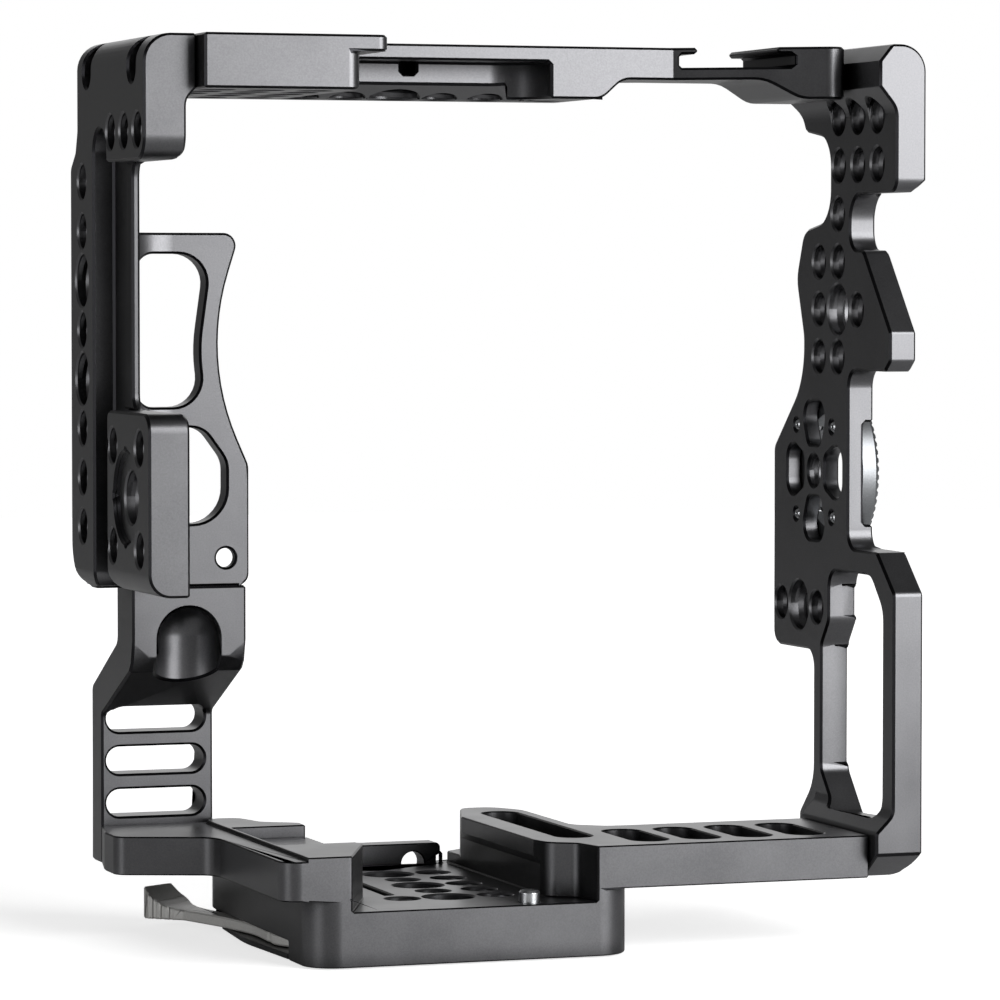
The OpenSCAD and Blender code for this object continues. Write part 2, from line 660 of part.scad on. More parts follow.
module rosette() color(steel) at_rosette() translate([rosette_x, 0, 0]) rotate([0, 90, 0]) difference() {
    union() {
        cylinder(h = rosette_h - 1, d = rosette_d);
        translate([0, 0, rosette_h - 1]) cylinder(h = 1, d1 = rosette_d, d2 = rosette_d - 1.6);
    }
    translate([0, 0, -eps]) cylinder(h = 6, d = rosette_bore);
    // radial tooth gaps, deeper towards the rim
    for (i = [0:rosette_teeth - 1]) rotate(i * 360 / rosette_teeth)
        translate([rosette_bore / 2, 0, rosette_h + 0.76]) rotate([0, 93, 0]) translate([0, 0, -1])
            rotate(45) translate([-0.75, -0.75, 0]) cube([1.5, 1.5, rosette_d / 2]);
    for (y = [-1, 1], z = [-1, 1])
        translate([z * rosette_screw_r, y * rosette_screw_r, -eps]) cylinder(h = 2, d = 2.5);
}

module rosette_screws() color(steel) at_rosette_screws(right_in + 0.1) difference() {
    union() {
        cylinder(h = 0.5, d1 = 1.5, d2 = 2.5);
        translate([0, 0, 0.5 - eps]) cylinder(h = 4.3 + eps, d = 2.5);
    }
    translate([0, 0, -eps]) cylinder(h = 0.8, d = 0.9, $fn = 6);
}

// ---------- clamp ----------

cover_screw_places = [[-15.5, -1.8], [-27.5, -17.5], [-28, 24]];

module lever_cover() color(black) difference() {
    plan_slab(0, cover_t)
        outline([[-31.2, -20, 1.5], [-25, -20, 4], [-13.2, -14.8, 5], [-13.2, 2, 5], [-24.9, 16, 8],
            [-26, 26.6, 2], [-30.6, 26.6, 2], [-32.6, 4, 60]]);
    for (p = cover_screw_places) translate([p[0], p[1], -eps]) {
        cylinder(h = 3, d = 2.1);
        cylinder(h = 0.9, d1 = 3.9, d2 = 2.1);
    }
}

pad_tip = [-43.6, 36.4];
pad_heel = [-36.8, 30.4];
pad_turn = 31.6;
pad_scoop_r = 9.4;
groove_pitch = 1.75;

module clamp_lever() color(steel) difference() {
    union() {
        plan_slab(lever_z0, lever_z0 + lever_t) {
            translate(lever_pivot) circle(7.6);
            outline([[-30.6, -6, 2], [-30.2, 6, 30], [-32.6, 18, 20], [pad_heel[0], pad_heel[1], 2],
                [pad_tip[0], pad_tip[1], 1], [-36.4, 41, 1.5], [-33.4, 38.6, 2], [-32.2, 32, 5],
                [-26.4, 8, 30], [-22, -4]]);
        }
        plan_slab(lever_z0, lever_z0 + pad_h)
            outline([[pad_heel[0], pad_heel[1], 0], [pad_tip[0], pad_tip[1], 1], [-36.4, 41, 1.5],
                [-33.4, 38.6, 2], [-33.2, 34.4, 0]]);
    }
    // hollow of the thumb pad, from its end edge down to the arm
    translate([pad_tip[0], pad_tip[1], lever_z0 + lever_t + 0.1 + pad_scoop_r]) rotate(pad_turn)
        translate([-3, -7.9, 0]) rotate([0, 90, 0]) cylinder(h = 16, r = pad_scoop_r);
    // grip grooves
    for (i = [0:3])
        translate([pad_tip[0], pad_tip[1], 0]) rotate(-41) translate([1.1 + i * groove_pitch, 0, 0])
            rotate(45) translate([-0.3, -0.3, 0]) cube([0.6, 0.6, 9]);
    translate([lever_pivot[0], lever_pivot[1], lever_z0 - eps]) {
        cylinder(h = 4, d = 3);
        cylinder(h = 1.2, d1 = 5.7, d2 = 3);
    }
    translate([lever_pivot[0], lever_pivot[1], lever_z0 + lever_t - 0.8])
        rotate(cam_start_angle) translate([-3, -3, 0]) cube([6, 6, 2]);
}

module cam_shaft() color(steel) translate([lever_pivot[0], lever_pivot[1], 0]) rotate(cam_start_angle)
    difference() {
        union() {
            translate([0, 0, lever_z0 + lever_t]) cylinder(h = cam_web_z - lever_z0 - lever_t, d = cam_shaft_d);
            translate([cam_throw, 0, cam_web_z - eps]) cylinder(h = 4, d = cam_pin_d);
            translate([-2.95, -2.95, lever_z0 + lever_t - 0.8]) cube([5.9, 5.9, 1]);
        }
        translate([0, 0, 0]) cylinder(h = 7, d = 3);
    }

module cam_bush() color("#b08d4c") translate([lever_pivot[0], lever_pivot[1], lever_recess_z]) difference() {
    cylinder(h = cam_web_z - lever_recess_z, d = cam_shaft_d + 2);
    translate([0, 0, -eps]) cylinder(h = 5, d = cam_shaft_d + 2 * running_clearance);
}

module lever_washer() color("#c9cacc")
    translate([lever_pivot[0], lever_pivot[1], lever_z0 + lever_t + 0.05]) difference() {
        cylinder(h = 0.2, d = 14.6);
        translate([0, 0, -eps]) cylinder(h = 1, d = cam_shaft_d + 0.4);
    }

module lever_screw() color(steel) translate([lever_pivot[0], lever_pivot[1], lever_z0]) difference() {
    union() {
        cylinder(h = 1.1, d1 = 5.6, d2 = 3);
        cylinder(h = 5, d = 3);
    }
    translate([0, 0, -eps]) cylinder(h = 1.1, d = 2, $fn = 6);
}

module cover_screws() color("#2a2a2c") for (p = cover_screw_places) translate([p[0], p[1], 0]) difference() {
    union() {
        cylinder(h = 0.9, d1 = 3.8, d2 = 2);
        cylinder(h = 5.6, d = 2);
    }
    translate([0, 0, -eps]) cylinder(h = 0.8, d = 1.3, $fn = 6);
}

module clamp_jaw() color("#26262a") difference() {
    front_slab(jaw_front, jaw_rear)
        polygon([[jaw_foot_left, jaw_z0], [jaw_foot_right, jaw_z0], [jaw_foot_right, jaw_foot_top],
            [jaw_face - jaw_undercut, jaw_foot_top], [jaw_face - jaw_undercut, 15.4],
            [jaw_face, 17], [jaw_face, jaw_top], [jaw_left, jaw_top],
            [jaw_left, jaw_step_z], [jaw_foot_left, jaw_step_z]]);
    // slot of the cam pin
    plan_slab(jaw_z0 - 1, 11)
        translate([cam_pin_x - cam_pin_d / 2 - jaw_play, lever_pivot[1] - 3.9])
            square([cam_pin_d + 2 * jaw_play, 7.8]);
    for (y = guide_ys) translate([0, y, guide_z]) rotate([0, 90, 0]) {
        translate([0, 0, jaw_left - 1]) cylinder(h = 8, d = guide_d + 0.6);
        translate([0, 0, jaw_spring_seat]) cylinder(h = 12, d = guide_head_d + 0.6);
    }
}

module jaw_guide_screws() color(steel) for (y = guide_ys) translate([0, y, guide_z]) rotate([0, 90, 0])
    difference() {
        union() {
            translate([0, 0, -35]) cylinder(h = guide_head_x + 35 + eps, d = guide_d);
            translate([0, 0, guide_head_x]) cylinder(h = 1.5, d = guide_head_d);
        }
        translate([0, 0, guide_head_x + 0.6]) cylinder(h = 2, d = 1.5, $fn = 6);
    }

// Compression spring of square-section rings joined into one coil body.
module spring_body(length, d, wire, turns) {
    pitch = (length - wire) / turns;
    for (i = [0:turns])
        translate([0, 0, i * pitch]) difference() {
            cylinder(h = wire, d = d);
            translate([0, 0, -eps]) cylinder(h = wire + 1, d = d - 2 * wire);
        }
    for (i = [0:turns - 1])
        rotate(i * 180) translate([d / 2 - wire, -wire / 2, i * pitch + wire / 2]) cube([wire, wire, pitch]);
}

module jaw_springs() color(steel) for (y = guide_ys)
    translate([jaw_spring_seat, y, guide_z]) rotate([0, 90, 0])
        spring_body(guide_head_x - jaw_spring_seat, guide_head_d, 0.4, 5);

module locating_pin() color(steel) translate([locating_at[0], locating_at[1], 0]) {
    translate([0, 0, locating_seat - locating_flange_h]) cylinder(h = locating_flange_h, d = locating_flange_d);
    translate([0, 0, locating_seat - eps])
        cylinder(h = locating_tip - 0.4 - locating_seat + eps, d = locating_d);
    translate([0, 0, locating_tip - 0.4 - eps])
        cylinder(h = 0.4 + eps, d1 = locating_d, d2 = locating_d - 0.8);
}

module locating_spring() color(steel) translate([locating_at[0], locating_at[1], plug_z + plug_h])
    spring_body(locating_seat - locating_flange_h - plug_z - plug_h, 4.8, 0.4, 4);

module locating_plug() color("#2a2a2c") translate([locating_at[0], locating_at[1], plug_z]) difference() {
    cylinder(h = plug_h, d = locating_flange_d + 0.1);
    translate([-3, -0.4, -eps]) cube([6, 0.8, 0.7]);
}

base_plate();
left_side_plate();
right_side_plate();
top_plate();
grip_leg();
top_left_screws();
top_right_screws();
leg_top_screws();
leg_foot_screws();
right_foot_screws();
rosette();
rosette_screws();
clamp_lever();
cam_shaft();
cam_bush();
lever_washer();
lever_screw();
lever_cover();
cover_screws();
clamp_jaw();
jaw_guide_screws();
jaw_springs();
locating_pin();
locating_spring();
locating_plug();
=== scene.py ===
"""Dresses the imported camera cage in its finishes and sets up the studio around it.

Sizes of the cage are in millimetres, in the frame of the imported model: X to the right, Y to
the back, Z up, origin at the underside of the middle 3/8-16 socket. Sizes of the studio,
meshes and Blender objects are in metres, and angles are in degrees.
"""

from __future__ import annotations

import json
import logging
import math
from dataclasses import dataclass
from enum import Enum
from typing import Any

import bpy
from mathutils import Matrix, Vector

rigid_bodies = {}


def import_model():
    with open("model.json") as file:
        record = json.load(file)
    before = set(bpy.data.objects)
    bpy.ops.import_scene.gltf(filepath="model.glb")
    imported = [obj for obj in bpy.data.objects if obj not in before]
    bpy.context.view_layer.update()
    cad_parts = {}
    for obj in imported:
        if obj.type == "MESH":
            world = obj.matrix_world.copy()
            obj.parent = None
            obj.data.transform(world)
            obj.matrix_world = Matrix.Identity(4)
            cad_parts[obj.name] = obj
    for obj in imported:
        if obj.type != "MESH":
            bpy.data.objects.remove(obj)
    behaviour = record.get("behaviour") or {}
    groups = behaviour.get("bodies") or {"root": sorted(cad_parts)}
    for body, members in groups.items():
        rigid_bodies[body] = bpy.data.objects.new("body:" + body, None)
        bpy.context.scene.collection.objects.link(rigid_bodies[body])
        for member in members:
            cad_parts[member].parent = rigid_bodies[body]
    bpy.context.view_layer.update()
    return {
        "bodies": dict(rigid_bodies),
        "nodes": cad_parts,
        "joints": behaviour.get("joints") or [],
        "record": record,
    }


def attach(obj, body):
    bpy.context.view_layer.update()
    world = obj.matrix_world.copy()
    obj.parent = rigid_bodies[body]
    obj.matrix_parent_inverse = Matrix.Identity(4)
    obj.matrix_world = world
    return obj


LOG = logging.getLogger("camera_cage")
MM = 0.001
Pair = tuple[float, float]
Point = tuple[float, float, float]
Colour = tuple[float, float, float, float]
WHITE: Colour = (1.0, 1.0, 1.0, 1.0)


# ---------- scene and shader helpers ----------


def linear(code: str) -> Colour:
    """Turns an sRGB hex colour into the linear colour that a shader socket takes.

    Args:
        code: Six hex digits with a leading #.

    Returns:
        Linear red, green and blue, and an alpha of one.
    """
    channels = [int(code[i : i + 2], 16) / 255 for i in (1, 3, 5)]
    values = [c / 12.92 if c <= 0.04045 else ((c + 0.055) / 1.055) ** 2.4 for c in channels]
    return (*values, 1.0)


def add_object(name: str, data: bpy.types.ID) -> bpy.types.Object:
    """Adds one object to the scene.

    Args:
        name: Name of the object.
        data: Its mesh, lamp or camera.

    Returns:
        The new object.
    """
    added = bpy.data.objects.new(name, data)
    bpy.context.scene.collection.objects.link(added)
    return added


def empty_tree(owner: bpy.types.Material | bpy.types.World) -> bpy.types.NodeTree:
    """Turns on the nodes of a material or a world and clears them.

    Args:
        owner: Material or world.

    Returns:
        Its empty node tree.
    """
    owner.use_nodes = True
    owner.node_tree.nodes.clear()
    return owner.node_tree


def add_node(
    tree: bpy.types.NodeTree,
    kind: str,
    inputs: dict[str | int, Any] | None = None,
    **settings: Any,
) -> bpy.types.Node:
    """Adds one node with its settings and links.

    Args:
        tree: Node tree that gets the node.
        kind: Blender's name of the node type.
        inputs: Value or output socket for each named or numbered input.
        settings: Properties of the node itself.

    Returns:
        The new node.
    """
    node = tree.nodes.new(kind)
    for name, value in settings.items():
        setattr(node, name, value)
    for key, value in (inputs or {}).items():
        if isinstance(value, bpy.types.NodeSocket):
            tree.links.new(value, node.inputs[key])
        else:
            node.inputs[key].default_value = value
    return node


def ramp(
    tree: bpy.types.NodeTree, source: bpy.types.NodeSocket, stops: list[tuple[float, Colour]]
) -> bpy.types.NodeSocket:
    """Adds a colour ramp.

    Args:
        tree: Node tree that gets the ramp.
        source: Socket that drives it.
        stops: Position and linear colour of each stop.

    Returns:
        The ramp's colour socket.
    """
    node = add_node(tree, "ShaderNodeValToRGB", {0: source})
    for element, (position, colour) in zip(node.color_ramp.elements, stops, strict=True):
        element.position, element.color = position, colour
    return node.outputs[0]


def per_metre(size_mm: float) -> float:
    """Texture scale at which one cell of a pattern is size_mm wide."""
    return 1.0 / (size_mm * MM)


# ---------- finishes ----------

# Octaves of the two noise patterns of a finish, and how much each finer octave counts.
GRAIN_OCTAVES = {"Detail": 3.0, "Roughness": 0.6}
PATCH_OCTAVES = {"Detail": 4.0, "Roughness": 0.55}
# Noise crowds around 0.5: these stretches of it spread over all of a finish's tone and polish.
TONE_STRETCH = (0.36, 0.64)
POLISH_STRETCH = (0.3, 0.7)
# Openness at which a cavity is darkest, and at which it is no longer darkened.
CAVITY_STRETCH = (0.35, 0.9)
CAVITY_RAYS = 8


@dataclass(frozen=True)
class Finish:
    """A metal finish: its colour, its polish and the relief that the process leaves.

    Attributes:
        name: Name of the material.
        colour: Its lighter tone.
        shade: Its darker tone.
        roughness: Its least and greatest roughness.
        grain_mm: Width of one grain.
        relief_mm: Height of the grain.
        patch_mm: Width of the soft patches in which tone and polish vary.
        cavity_mm: Reach of the painted shade in holes and inner corners, or 0 for none.
        cavity_tone: Share of the colour that is left where the painted shade of a cavity is
            darkest.
        metallic: Share of metal in the shader.
        edge: Darker finish of the broken edges, painted shade that draws their outline, where
            they have their own.
    """

    name: str
    colour: str
    shade: str
    roughness: Pair
    grain_mm: float
    relief_mm: float
    patch_mm: float = 14.0
    cavity_mm: float = 0.0
    cavity_tone: float = 0.2
    metallic: float = 1.0
    edge: Finish | None = None

    def material(self) -> bpy.types.Material:
        """Builds the node material of this finish.

        Returns:
            The material, made once and found again by its name.
        """
        found = bpy.data.materials.get(self.name)
        if found:
            return found
        material = bpy.data.materials.new(self.name)
        tree = empty_tree(material)
        place = add_node(tree, "ShaderNodeTexCoord").outputs["Object"]
        grain = add_node(
            tree,
            "ShaderNodeTexNoise",
            {"Vector": place, "Scale": per_metre(self.grain_mm), **GRAIN_OCTAVES},
        ).outputs["Fac"]
        patch = add_node(
            tree,
            "ShaderNodeTexNoise",
            {"Vector": place, "Scale": per_metre(self.patch_mm), **PATCH_OCTAVES},
        ).outputs["Fac"]
        total = add_node(tree, "ShaderNodeMath", {0: grain, 1: patch}, operation="ADD")
        mean = add_node(
            tree, "ShaderNodeMath", {0: total.outputs[0], 1: 0.5}, operation="MULTIPLY"
        )
        dark, light = TONE_STRETCH
        colour = ramp(
            tree, mean.outputs[0], [(dark, linear(self.shade)), (light, linear(self.colour))]
        )
        if self.cavity_mm:
            colour = self.shaded_cavities(tree, colour)
        polish = add_node(
            tree,
            "ShaderNodeMapRange",
            {"Value": patch, "From Min": POLISH_STRETCH[0], "From Max": POLISH_STRETCH[1],
             "To Min": self.roughness[0], "To Max": self.roughness[1]},
        ).outputs["Result"]
        relief = add_node(
            tree,
            "ShaderNodeBump",
            {"Strength": 1.0, "Distance": self.relief_mm * MM, "Height": grain},
        ).outputs["Normal"]
        surface = add_node(
            tree,
            "ShaderNodeBsdfPrincipled",
            {"Base Color": colour, "Metallic": self.metallic, "Roughness": polish,
             "Normal": relief},
        )
        add_node(tree, "ShaderNodeOutputMaterial", {"Surface": surface.outputs[0]})
        return material

    def shaded_cavities(
        self, tree: bpy.types.NodeTree, colour: bpy.types.NodeSocket
    ) -> bpy.types.NodeSocket:
        """Paints shade into holes, pockets and inner corners, where little light reaches a black
        finish.

        Its reach and tone are given.

        Args:
            tree: Node tree of the finish.
            colour: Colour of the open faces.

        Returns:
            The colour socket with the cavities in it.
        """
        openness = add_node(
            tree,
            "ShaderNodeAmbientOcclusion",
            {"Distance": self.cavity_mm * MM},
            samples=CAVITY_RAYS,
        ).outputs["AO"]
        level = add_node(
            tree,
            "ShaderNodeMapRange",
            {"Value": openness, "From Min": CAVITY_STRETCH[0], "From Max": CAVITY_STRETCH[1],
             "To Min": self.cavity_tone, "To Max": 1.0},
        ).outputs["Result"]
        return add_node(
            tree, "ShaderNodeVectorMath", {0: colour, "Scale": level}, operation="SCALE"
        ).outputs["Vector"]


# The grain of these surfaces is 0.1 mm wide or less, too fine to show, and is drawn at 0.2 to
# 0.3 mm. Tones and roughness start from typical values. Those of the plates, the toothed ring
# and the lever are set one by one.

# Broken edges of the blasted plates: the same black anodising in a darker tone, painted shade
# that stands in for the dark that the chamfers mirror, so that they draw the outline of each
# plate.
PAINTED_EDGE_SHADE = Finish(
    "aluminium_edge_painted_shade", "#2b2b2d", "#222224", (0.30, 0.36), 0.30, 0.002
)
# Aluminium 6061, milled, bead-blasted and dyed black by anodising: a satin black that turns
# to light grey where it mirrors a lamp, with a fine even grain.
BLASTED_ANODISED = Finish(
    "aluminium_blasted_black_anodised", "#69696b", "#5d5d5f", (0.30, 0.36), 0.30, 0.004,
    # Painted shade darkens its holes and inner corners, and its broken edges take the darker
    # painted edge shade.
    cavity_mm=5.0, edge=PAINTED_EDGE_SHADE,
)
# Alloy steel with a black oxide skin: darker and smoother than the anodised plates.
BLACK_OXIDE = Finish("steel_black_oxide", "#3c3c3f", "#303033", (0.26, 0.34), 0.25, 0.002)
# Stainless steel 304, turned: a bright grey, smooth, with a faint grain for the tool marks.
TURNED_STAINLESS = Finish("stainless_turned", "#c2c4c6", "#aeb0b3", (0.22, 0.30), 0.25, 0.002)
# Stainless steel 304 of the toothed ring, glass-bead blasted after its teeth are cut.
BLASTED_STAINLESS = Finish("stainless_blasted", "#8f9193", "#7d7f82", (0.36, 0.44), 0.30, 0.003)
# Spring wire of stainless steel, drawn and bright.
SPRING_WIRE = Finish("stainless_spring_wire", "#a8aaad", "#929497", (0.24, 0.32), 0.20, 0.001)
# Cast zinc lever, blasted and nickel plated: warm light grey, half matt. It is drawn with a low
# share of metal, so mostly as a diffuse surface.
SATIN_NICKEL = Finish(
    "lever_satin_nickel", "#e4e3e0", "#d4d3d0", (0.34, 0.42), 0.30, 0.003, metallic=0.15
)
# Sintered bronze bush, porous and oil-filled: dull brown-yellow.
SINTERED_BRONZE = Finish("bronze_sintered", "#a9844a", "#7f6236", (0.42, 0.52), 0.30, 0.006)


# ---------- mesh helpers ----------

# Points closer together than this are one point.
WELD_MM = 0.002
# Faces that differ in angle by no more than this are one flat face.
FLAT_ANGLE = 0.4
# Edges between faces that differ by this much or more are chamfered.
CHAMFER_ANGLE = 50.0
# Edges up to this angle are shaded smooth, as the facets of a bore are.
SMOOTH_ANGLE = 30.0
# Corners of a chamfer that stand further than this off the piece are put back on its faces.
STRAY_MM = 0.01
# Pull of the larger face on a normal that two faces share, from 1 to 100.
FACE_PULL = 100


@dataclass(frozen=True)
class EdgeBreak:
    """Small chamfer that deburring leaves on the sharp edges of a machined piece.

    Attributes:
        width_mm: Width of the chamfer, or 0 for none.
        edge_slot: Material slot that the chamfer takes, or -1 for that of the faces beside it.
    """

    width_mm: float
    edge_slot: int = -1

    def start_group(self, name: str) -> tuple[bpy.types.NodeTree, bpy.types.Node]:
        """Makes an empty geometry node group with one geometry in and one out.

        Args:
            name: Name of the group.

        Returns:
            The group and its input node.
        """
        tree = bpy.data.node_groups.new(name, "GeometryNodeTree")
        for way in ("INPUT", "OUTPUT"):
            tree.interface.new_socket("Geometry", in_out=way, socket_type="NodeSocketGeometry")
        return tree, add_node(tree, "NodeGroupInput")

    def plain_copy_group(self) -> bpy.types.NodeTree:
        """Makes the node group that carries a copy of the unchamfered piece past the chamfer.

        Returns:
            The geometry node group, made once.
        """
        name = "keep_plain_copy"
        found = bpy.data.node_groups.get(name)
        if found:
            return found
        tree, start = self.start_group(name)
        copy = add_node(tree, "GeometryNodeGeometryToInstance", {0: start.outputs[0]})
        both = add_node(tree, "GeometryNodeJoinGeometry")
        tree.links.new(start.outputs[0], both.inputs[0])
        tree.links.new(copy.outputs[0], both.inputs[0])
        add_node(tree, "NodeGroupOutput", {0: both.outputs[0]})
        return tree

    def shading_group(self) -> bpy.types.NodeTree:
        """Makes the node group that holds the chamfer to the faces and smooths round faces.

        Returns:
            The geometry node group, made once.
        """
        name = "smooth_round_faces"
        found = bpy.data.node_groups.get(name)
        if found:
            return found
        tree, start = self.start_group(name)
        parts = add_node(tree, "GeometryNodeSeparateComponents", {0: start.outputs[0]})
        plain = add_node(tree, "GeometryNodeRealizeInstances", {0: parts.outputs["Instances"]})
        nearest = add_node(
            tree, "GeometryNodeProximity", {"Geometry": plain.outputs[0]}, target_element="FACES"
        )
        stray = add_node(
            tree,
            "FunctionNodeCompare",
            {0: nearest.outputs["Distance"], 1: STRAY_MM * MM},
            operation="GREATER_THAN",
        )
        held = add_node(
            tree,
            "GeometryNodeSetPosition",
            {"Geometry": parts.outputs["Mesh"], "Selection": stray.outputs[0],
             "Position": nearest.outputs["Position"]},
        )
        dropped = add_node(
            tree,
            "GeometryNodeRemoveAttribute",
            {"Geometry": held.outputs[0], "Name": "custom_normal"},
        )
        smooth = add_node(
            tree,
            "GeometryNodeSetShadeSmooth",
            {"Geometry": dropped.outputs[0], "Shade Smooth": True},
            domain="FACE",
        )
        angle = add_node(tree, "GeometryNodeInputMeshEdgeAngle")
        low = add_node(
            tree,
            "FunctionNodeCompare",
            {0: angle.outputs["Unsigned Angle"], 1: math.radians(SMOOTH_ANGLE)},
            operation="LESS_EQUAL",
        )
        edges = add_node(
            tree,
            "GeometryNodeSetShadeSmooth",
            {"Geometry": smooth.outputs[0], "Shade Smooth": low.outputs[0]},
            domain="EDGE",
        )
        add_node(tree, "NodeGroupOutput", {0: edges.outputs[0]})
        return tree

    def apply(self, piece: bpy.types.Object) -> None:
        """Adds the modifiers that merge flat faces, chamfer sharp edges and shade the rest.

        Args:
            piece: Mesh object that keeps its own mesh unchanged.
        """
        weld = piece.modifiers.new("weld", "WELD")
        weld.merge_threshold = WELD_MM * MM
        flat = piece.modifiers.new("merge_flat_faces", "DECIMATE")
        flat.decimate_type = "DISSOLVE"
        flat.angle_limit = math.radians(FLAT_ANGLE)
        keep = piece.modifiers.new("keep_plain_copy", "NODES")
        keep.node_group = self.plain_copy_group()
        if self.width_mm:
            bevel = piece.modifiers.new("edge_break", "BEVEL")
            bevel.width = self.width_mm * MM
            bevel.segments = 1
            bevel.limit_method = "ANGLE"
            bevel.angle_limit = math.radians(CHAMFER_ANGLE)
            bevel.use_clamp_overlap = False
            bevel.miter_outer = "MITER_ARC"
            bevel.material = self.edge_slot
        shade = piece.modifiers.new("shade", "NODES")
        shade.node_group = self.shading_group()
        weighted = piece.modifiers.new("even_normals", "WEIGHTED_NORMAL")
        weighted.keep_sharp = True
        weighted.weight = FACE_PULL


def paint(piece: bpy.types.Object, finish: Finish) -> None:
    """Gives every material slot of a piece one finish, and adds a slot for the painted shade of
    its broken edges.

    Args:
        piece: Mesh object.
        finish: Finish that it gets.
    """
    material = finish.material()
    if not piece.material_slots:
        piece.data.materials.append(material)
    for slot in piece.material_slots:
        slot.material = material
    if finish.edge:
        piece.data.materials.append(finish.edge.material())


# ---------- threads ----------


class Thread(Enum):
    """Threads of the tapped holes: diameter of the bore, minor diameter and pitch, in mm.

    The bore has the thread's major diameter, and M6 has 0.1 mm more.
    """

    QUARTER_20 = (6.35, 5.2, 1.27)
    THREE_EIGHTHS_16 = (9.53, 7.95, 1.5875)
    M6 = (6.1, 5.0, 1.0)


class Axis(Enum):
    """Direction of a hole, as the indices of the axis along it and of the two across it."""

    X = (0, 1, 2)
    Z = (2, 0, 1)


@dataclass(frozen=True)
class TappedHole:
    """One tapped hole.

    Attributes:
        at: Middle of the bore at its end with the lowest X or Z.
        length: How far the bore runs from there.
        axis: Direction of the bore.
        thread: Its thread.
    """

    at: Point
    length: float
    axis: Axis
    thread: Thread = Thread.QUARTER_20

    def point(self, along: float, radius: float, angle: float) -> Point:
        """Turns a place in the bore into a point of the part.

        Args:
            along: Distance from the start of the bore, in mm.
            radius: Distance from its middle line, in mm.
            angle: Angle round that line, in radians.

        Returns:
            The point, in metres.
        """
        spot = list(self.at)
        spot[self.axis.value[0]] += along
        spot[self.axis.value[1]] += radius * math.cos(angle)
        spot[self.axis.value[2]] += radius * math.sin(angle)
        return (spot[0] * MM, spot[1] * MM, spot[2] * MM)


@dataclass
class ThreadSleeve:
    """The cut threads of a plate's holes, as one piece of thin helical ridges.

    Attributes:
        name: Name of the piece.
        holes: Holes that it lines.
        lead_mm: Plain stretch of the bore before the first turn and after the last.
        root_gap_mm: Gap between the roots of the ridges and the bore.
        fade_turns: Turns in which a ridge rises to its full height.
        sides: Points in one turn.
    """

    name: str
    holes: list[TappedHole]
    lead_mm: float = 0.4
    root_gap_mm: float = 0.01
    fade_turns: float = 0.4
    sides: int = 30

    def station(self, hole: TappedHole, turn: float, last: float) -> Point:
        """Works out one station of the helix.

        Args:
            hole: Hole that it is in.
            turn: Turns from the start.
            last: Turns at the end.

        Returns:
            Place along the bore, radius of the root and radius of the crest, in mm.
        """
        major, minor, pitch = hole.thread.value
        root = major / 2 - self.root_gap_mm
        fade = max(0.0, min(1.0, turn / self.fade_turns, (last - turn) / self.fade_turns))
        return self.lead_mm + turn * pitch, root, root - (major - minor) / 2 * fade

    def build(self, body: str, finish: Finish, record_slot: str) -> None:
        """Makes the piece and lets it ride on its body.

        Args:
            body: Body that it moves with.
            finish: Finish of the cut metal.
            record_slot: Material slot of the record; not used.
        """
        points: list[Point] = []
        faces: list[tuple[int, int, int, int]] = []
        for hole in self.holes:
            pitch = hole.thread.value[2]
            last = (hole.length - 2 * self.lead_mm) / pitch - 1
            steps = int(last * self.sides)
            # The two flanks run from the groove before and the groove after to the crest.
            for side in (0, 1):
                base = len(points)
                for step in range(steps + 1):
                    along, root, crest = self.station(hole, step / self.sides, last)
                    angle = math.tau * step / self.sides
                    points.append(hole.point(along + side * pitch, root, angle))
                    points.append(hole.point(along + pitch / 2, crest, angle))
                for step in range(steps):
                    a = base + 2 * step
                    quad = (a, a + 1, a + 3, a + 2)
                    faces.append(quad if side else quad[::-1])
        mesh = bpy.data.meshes.new(self.name)
        mesh.from_pydata(points, [], faces)
        mesh.shade_smooth()
        piece = add_object(self.name, mesh)
        paint(piece, finish)
        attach(piece, body)
        LOG.info("%s: %d threaded holes", self.name, len(self.holes))


# ---------- sub-assemblies ----------


@dataclass
class Dressing:
    """What every sub-assembly shares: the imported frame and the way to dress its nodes."""

    frame: dict[str, Any]

    def dress(self, node: str, finish: Finish, edge: EdgeBreak) -> None:
        """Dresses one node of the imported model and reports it.

        Args:
            node: Name of the node.
            finish: Finish that it gets.
            edge: Edge break that it gets.
        """
        piece = self.frame["nodes"][node]
        edge.apply(piece)
        paint(piece, finish)
        LOG.info("%s: %s", node, finish.name)


